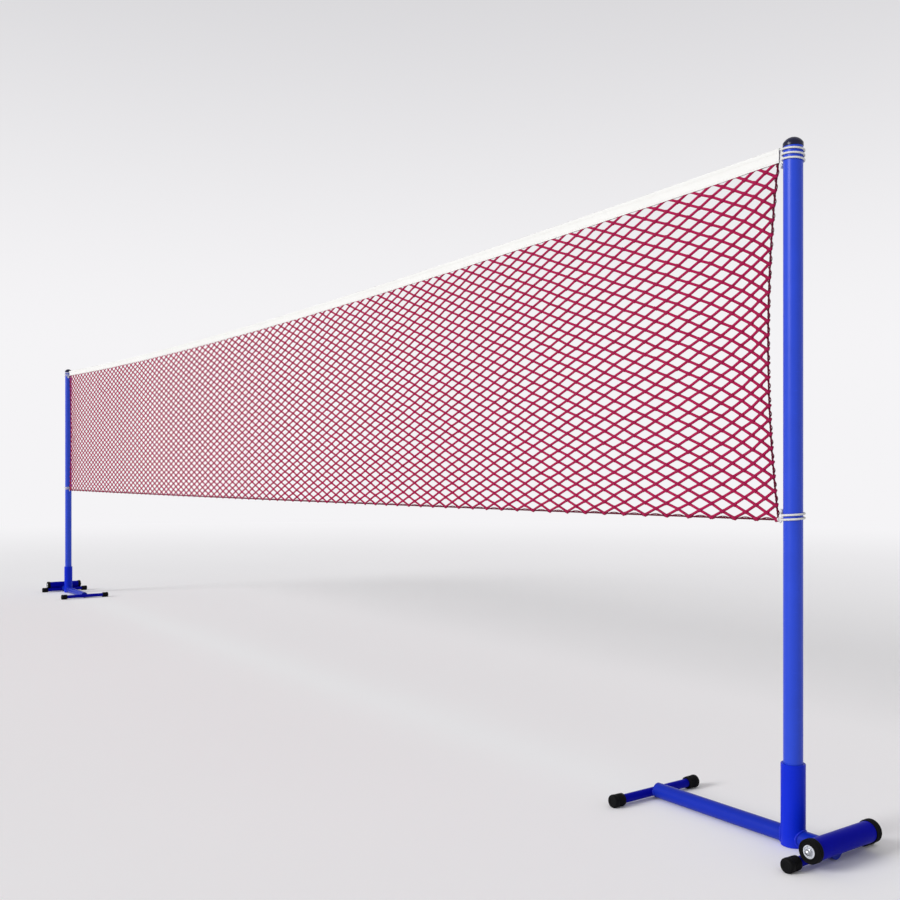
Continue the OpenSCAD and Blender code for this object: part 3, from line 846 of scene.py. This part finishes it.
class NETKIT_OT_welds(bpy.types.Operator):
    """Runs the weld beads where the socket, the feet and the axle housing meet the stem"""

    bl_idname = "netkit.welds"
    bl_label = "Weld beads"

    def execute(self, context):
        s = context.scene.stand_sizes
        paint = powder_coated_steel("powder-coated weld", shaded(s.paint, 0.92), 0.1, 0.2)
        for side, sign in SIDES.items():
            stem_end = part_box(f"stem_{side}")[1 if sign > 0 else 0].x
            seams = []
            # the socket's beads stop short of the floor
            y, z = round_stem(np.linspace(-math.pi / 3, 4 * math.pi / 3, 201))
            for way in (1, -1):
                x = POLE[side].x + way * np.sqrt(SLEEVE_R**2 - y**2)
                seams.append(np.column_stack([x, y, z]))
            # the outer foot goes through the stem, and the inner one lies across its end
            ring = np.linspace(0, 2 * math.pi + 0.2, 249)
            seat = np.linspace(-0.75, 0.75, 81)
            for foot, turn in (("outer_foot", ring), ("inner_foot", seat)):
                for way in (1, -1):
                    x = middle(f"{foot}_{side}").x + sign * FOOT_R * np.cos(turn)
                    z = FOOT_Z + FOOT_R * np.sin(turn)
                    y = way * np.sqrt(STEM_R**2 - (z - STEM_Z) ** 2)
                    seams.append(np.column_stack([x, y, z]))
            # the housing's bead runs over the stem, from one side of the cope to the other
            nose = abs(AXLE[side].x - stem_end)
            lowest = AXLE[side].z - math.sqrt(HOUSING_R**2 - nose**2)
            start = math.asin((lowest - STEM_Z) / STEM_R)
            y, z = round_stem(np.linspace(start, math.pi - start, 161))
            x = AXLE[side].x - sign * np.sqrt(HOUSING_R**2 - (z - AXLE[side].z) ** 2)
            seams.append(np.column_stack([x, y, z]))
            beads = [
                tubes("bead", [path], s.weld, 8, 1.0, bead_scales(path, s.ripple))
                for path in seams
            ]
            finished(joined(beads), f"weld_beads_{side}", paint, STANDS, (), 60)
        return {"FINISHED"}


def round_stem(angles):
    """The y and z of points round the stem's outside."""
    return STEM_R * np.cos(angles), STEM_Z + STEM_R * np.sin(angles)


def bead_scales(path, pitch):
    """Sizes along a weld bead: even ripples and tapered ends."""
    run = run_along(path)
    scales = 1 + 0.16 * np.abs(np.sin(math.pi * run / pitch))
    return scales * np.minimum(1, 0.25 + np.minimum(run, run[-1] - run) / 0.004)


class NETKIT_OT_foot_caps(bpy.types.Operator):
    """Moulds the ribbed rubber caps on the ends of the feet"""

    bl_idname = "netkit.foot_caps"
    bl_label = "Foot caps"

    def execute(self, context):
        s = context.scene.stand_sizes
        rubber = moulded("moulded rubber", s.rubber, 0.6, 0.7, 0.3, 0.09)
        for side in SIDES:
            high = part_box(f"foot_caps_{side}")[1]
            cap_r = high.z - FOOT_Z
            foot_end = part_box(f"outer_foot_{side}")[1].y
            mouth = foot_end + CAP_END - CAP_LENGTH
            length = high.y - mouth
            bore = FOOT_R + 0.0002
            outline = [(bore, foot_end - mouth + 0.0002), (bore, 0.0), (cap_r - 0.0022, 0.0)]
            outline += [(cap_r - 0.0010, 0.0012), (cap_r - 0.0008, 0.006)]
            for k in range(4):
                at = 0.008 + 0.0045 * k
                r = cap_r - 0.0006
                outline += [(r, at), (r - s.groove, at + 0.0006)]
                outline += [(r - s.groove, at + 0.0020), (r, at + 0.0026)]
            outline += [(cap_r, length - 0.010), (cap_r, length - 0.0052)]
            outline += [
                (cap_r - 0.0052 + 0.0052 * math.cos(a), length - 0.0052 + 0.0052 * math.sin(a))
                for a in (math.pi / 2 * k / 6 for k in range(1, 7))
            ]
            dimple = length - 0.0008
            outline += [(cap_r * 0.45, length), (cap_r * 0.4, dimple), (0, dimple)]
            caps = [
                foot_cap(outline, (middle(f"{foot}_{side}").x, end * mouth, FOOT_Z), end)
                for foot in ("inner_foot", "outer_foot")
                for end in ENDS.values()
            ]
            caps, node = joined(caps), f"foot_caps_{side}"
            finished(caps, f"rubber_caps_{side}", rubber, STANDS, [node], 35)
        return {"FINISHED"}


def foot_cap(outline, place, end):
    """One cap on its foot's end, with a flat underside just clear of the floor."""
    cap = turned(outline, 56)
    set_along_y(cap, place, end)
    start_edit()
    bpy.ops.mesh.bisect(
        plane_co=(0, 0, 0.0001), plane_no=(0, 0, -1), use_fill=True, clear_outer=True
    )
    bpy.ops.object.mode_set(mode="OBJECT")
    return cap


class NETKIT_OT_wheels(bpy.types.Operator):
    """Makes the transport wheels: a grooved tyre on a ribbed hub, held by a domed nut"""

    bl_idname = "netkit.wheels"
    bl_label = "Transport wheels"

    def execute(self, context):
        s = context.scene.stand_sizes
        rubber = moulded("tyre rubber", s.rubber, 0.65, 0.9, 0.3, 0.09)
        plastic = moulded("moulded nylon", s.hub, 0.35, 1.2, 0.08)
        zinc = zinc_plated_steel("zinc-plated nut", s.metal)
        for side in SIDES:
            nuts = []
            for end, way in ENDS.items():
                node, body = f"{end}_tyre_{side}", f"{end}_wheel_{side}"
                tyre_r, width = sizes(node).z / 2, sizes(node).y
                hub_r = sizes(f"{end}_hub_{side}").z / 2
                inner = middle(node).y - way * width / 2
                place = (AXLE[side].x, inner, AXLE[side].z)
                tyre = turned(tyre_outline(tyre_r, hub_r + 0.0001, width), 72, True)
                set_along_y(tyre, place, way)
                finished(tyre, f"tyre_{end}_{side}", rubber, body, [node], 35)
                hub = joined([turned(hub_outline(hub_r, width), 64, True), *ribs(s, hub_r, width)])
                set_along_y(hub, place, way)
                node = f"{end}_hub_{side}"
                finished(hub, f"hub_{end}_{side}", plastic, body, [node], 35)
                nut = turned(nut_outline(sizes(f"axle_nuts_{side}").z / 2), 48)
                at = way * (abs(inner) + width + 0.001)
                set_along_y(nut, (AXLE[side].x, at, AXLE[side].z), way)
                nuts.append(nut)
            node = f"axle_nuts_{side}"
            finished(joined(nuts), f"domed_nuts_{side}", zinc, STANDS, [node], 35)
        return {"FINISHED"}


def set_along_y(piece, place, way):
    """Turns a piece made along Z outwards along Y, and puts its inner face in place."""
    piece.rotation_euler = (-way * math.pi / 2, 0, 0)
    piece.location = place
    select_only(piece)
    bpy.ops.object.transform_apply()


def tyre_outline(outer, inner, width):
    """A solid tyre's section: sidewalls with a raised bead, and a tread with two grooves."""
    edge, groove = 0.003, 0.0009
    half = [(inner, 0.0006), (inner + 0.0008, 0.0), (inner + 0.003, 0.0), (inner + 0.0036, 0.0007)]
    half += [(outer - edge - 0.0006, 0.0007), (outer - edge, 0.0003)]
    half += [
        (outer - edge + edge * math.sin(a), edge - edge * math.cos(a))
        for a in (math.pi / 2 * k / 5 for k in range(1, 6))
    ]
    half += [(outer, 0.0052), (outer - groove, 0.0056), (outer - groove, 0.0070), (outer, 0.0074)]
    return half + [(r, width - h) for r, h in reversed(half)] + [half[0]]


def hub_outline(outer, width):
    """A hub's section: a rim and a boss with a web between them, recessed on both faces."""
    bore, boss, rim, web = AXLE_R + 0.00008, AXLE_R + 0.0028, outer - 0.0022, 0.0026
    half = [(bore, 0.0004), (bore + 0.0004, 0.0), (boss - 0.0004, 0.0), (boss, 0.0004)]
    half += [(boss + 0.0003, web), (rim - 0.0003, web), (rim, 0.0006), (rim + 0.0005, 0.0001)]
    half += [(outer - 0.0004, 0.0001), (outer, 0.0005)]
    return half + [(r, width - h) for r, h in reversed(half)] + [half[0]]


def ribs(s, hub_r, width):
    """The hub's ribs, from its boss to its rim on both faces."""
    made = []
    inner, outer, web = AXLE_R + 0.0022, hub_r - 0.0018, 0.0030
    for k in range(s.spokes):
        for low, high in ((0.0007, web), (width - web, width - 0.0007)):
            centre = ((inner + outer) / 2, 0, (low + high) / 2)
            bpy.ops.mesh.primitive_cube_add(size=1, location=centre)
            bpy.ops.transform.resize(value=(outer - inner, 0.0014, high - low))
            bpy.ops.object.modifier_add(type="BEVEL")
            rib = bpy.context.object
            rib.modifiers[0].width = 0.0003
            rib.modifiers[0].segments = 2
            bpy.ops.object.transform_apply()
            bpy.ops.object.modifier_apply(modifier="Bevel")
            rib.rotation_euler = (0, 0, 2 * math.pi * k / s.spokes)
            bpy.ops.object.transform_apply()
            made.append(rib)
    return made


def nut_outline(outer):
    """A push-on domed nut: a thin flange and a dome over the axle's end."""
    bore, grip, crown = AXLE_R + 0.00005, 0.005, 0.0075
    outline = [(bore, grip), (bore, 0.0004), (bore + 0.0003, 0.0), (outer - 0.0003, 0.0)]
    outline += [(outer, 0.0003), (outer, 0.0012), (outer - 0.0004, 0.0015)]
    dome = outer - 0.0010
    outline += [
        (dome * math.cos(a), 0.0018 + (crown - 0.0018) * math.sin(a))
        for a in (math.pi / 2 * k / 9 for k in range(9))
    ]
    return outline + [(0, crown)]


class NETKIT_OT_pole_caps(bpy.types.Operator):
    """Moulds the domed caps on the tops of the poles"""

    bl_idname = "netkit.pole_caps"
    bl_label = "Pole caps"

    def execute(self, context):
        s = context.scene.stand_sizes
        plastic = moulded("gloss moulded polypropylene", s.cap, 0.28, 1.1, 0.06, 0.3)
        for side in SIDES:
            low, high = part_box(f"pole_cap_{side}")
            cap_r = (high.x - low.x) / 2
            skirt, crown = 0.008, high.z - POLE_END
            dome_r = (cap_r**2 + (crown - skirt) ** 2) / (2 * (crown - skirt))
            plug_r = POLE_R - 0.00185
            outline = [(plug_r - 0.002, low.z - POLE_END), (plug_r, low.z - POLE_END + 0.002)]
            outline += [(plug_r, 0.0), (cap_r - 0.0006, 0.0), (cap_r, 0.0006)]
            outline += [(cap_r, skirt - 0.0022), (cap_r - 0.0005, skirt - 0.0018)]
            outline += [(cap_r - 0.0005, skirt - 0.0010), (cap_r - 0.0001, skirt - 0.0004)]
            lean = math.asin(cap_r / dome_r)
            outline += [
                (dome_r * math.sin(lean * t), crown - dome_r * (1 - math.cos(lean * t)))
                for t in (1 - k / 14 for k in range(14))
            ]
            cap = turned(outline + [(0, crown)], 72)
            cap.location = (POLE[side].x, 0, POLE_END)
            node = f"pole_cap_{side}"
            body = POLE_BODY[side]
            finished(cap, f"domed_cap_{side}", plastic, body, [node], 35)
        return {"FINISHED"}


# ---- the stage


def floor_material(s):
    """Matt floor paint, with a very faint mottle, that fades into the background far off."""
    material, tree, shader, place = start_material("matt floor paint", {"Roughness": 0.9})
    mottle = noise(tree, place, 0.6)
    dress(tree, shader, mixed(tree, mottle, shaded(s.floor, 0.97), shaded(s.floor, 1.0)))
    away = add(tree, "ShaderNodeVectorMath", {"operation": "LENGTH"}, {0: place})
    fade = ranged(tree, away.outputs["Value"], 0.0, 1.0, 2.5, 14.0, "SMOOTHSTEP")
    glow = add(tree, "ShaderNodeEmission", None, {"Color": shaded(s.far, 1.0)})
    inputs = {0: fade, 1: shader.outputs["BSDF"], 2: glow.outputs["Emission"]}
    blend = add(tree, "ShaderNodeMixShader", None, inputs)
    tree.links.new(blend.outputs["Shader"], tree.nodes["Material Output"].inputs["Surface"])
    return material


def studio(s):
    """Soft light from all round, with the pale background where it is seen."""
    world = bpy.data.worlds.new("studio")
    world.use_nodes = True
    tree = world.node_tree
    tree.nodes.clear()
    path = add(tree, "ShaderNodeLightPath")
    seen = path.outputs["Is Camera Ray"]
    for ray in ("Is Glossy Ray", "Is Transmission Ray"):
        inputs = {0: seen, 1: path.outputs[ray]}
        either = add(tree, "ShaderNodeMath", {"operation": "MAXIMUM"}, inputs)
        seen = either.outputs["Value"]
    soft = add(tree, "ShaderNodeBackground", None, {"Color": (1, 1, 1, 1), "Strength": 0.54})
    way = add(tree, "ShaderNodeTexCoord").outputs["Generated"]
    height = add(tree, "ShaderNodeSeparateXYZ", None, {"Vector": way}).outputs["Z"]
    overhead = ranged(tree, height, 0.0, 1.0, 0.1, 0.6, "SMOOTHSTEP")
    colour = mixed(tree, overhead, shaded(s.far, 1.0), shaded(s.above, 1.0))
    plain = add(tree, "ShaderNodeBackground", None, {"Color": colour})
    inputs = {0: seen, 1: soft.outputs["Background"], 2: plain.outputs["Background"]}
    blend = add(tree, "ShaderNodeMixShader", None, inputs)
    add(tree, "ShaderNodeOutputWorld", None, {"Surface": blend.outputs["Shader"]})
    return world


class NETKIT_OT_stage(bpy.types.Operator):
    """Sets the pale floor, the soft studio light and the camera"""

    bl_idname = "netkit.stage"
    bl_label = "Stage"

    def execute(self, context):
        scene = context.scene
        s = scene.stage_sizes
        scene.view_settings.view_transform = "Standard"
        bpy.ops.mesh.primitive_circle_add(vertices=96, radius=60, fill_type="NGON")
        floor = bpy.context.object
        floor.name = "floor"
        floor.data.materials.append(floor_material(s))
        scene.world = studio(s)
        turn = (math.radians(67.5), 0, math.radians(-12))
        bpy.ops.object.light_add(type="SUN", rotation=turn)
        key_light = bpy.context.object.data
        key_light.energy = 2.1
        key_light.angle = math.radians(22)
        bpy.ops.object.camera_add(location=s.eye, rotation=(math.pi / 2, 0, s.heading))
        scene.camera = bpy.context.object
        camera = scene.camera.data
        camera.sensor_width = 36
        camera.lens = s.lens
        camera.shift_y = s.rise
        camera.clip_start = 0.01
        camera.clip_end = 200
        return {"FINISHED"}


# ---- panel and run


OPERATORS = (
    NETKIT_OT_tubes,
    NETKIT_OT_welds,
    NETKIT_OT_foot_caps,
    NETKIT_OT_wheels,
    NETKIT_OT_pole_caps,
    NETKIT_OT_ties,
    NETKIT_OT_ropes,
    NETKIT_OT_headband,
    NETKIT_OT_mesh,
    NETKIT_OT_stage,
)


class NETKIT_PT_panel(bpy.types.Panel):
    """Lists the net's pieces and what can be changed on them"""

    bl_label = "Sports net"
    bl_space_type = "VIEW_3D"
    bl_region_type = "UI"
    bl_category = "Sports net"

    def draw(self, context):
        for name, group in GROUPS.items():
            box = self.layout.box()
            for setting in group.__annotations__:
                box.prop(getattr(context.scene, name), setting)
        for operator in OPERATORS:
            self.layout.operator(operator.bl_idname)


GROUPS = {"net_sizes": NetSizes, "stand_sizes": StandSizes, "stage_sizes": StageSizes}


def register():
    for group in (*GROUPS.values(), *OPERATORS, NETKIT_PT_panel):
        bpy.utils.register_class(group)
    for name, group in GROUPS.items():
        setattr(bpy.types.Scene, name, bpy.props.PointerProperty(type=group))


def unregister():
    for name in GROUPS:
        delattr(bpy.types.Scene, name)
    for group in reversed((*GROUPS.values(), *OPERATORS, NETKIT_PT_panel)):
        bpy.utils.unregister_class(group)


def main():
    register()
    for operator in OPERATORS:
        getattr(bpy.ops.netkit, operator.bl_idname.split(".")[1])()


if __name__ == "__main__":
    main()
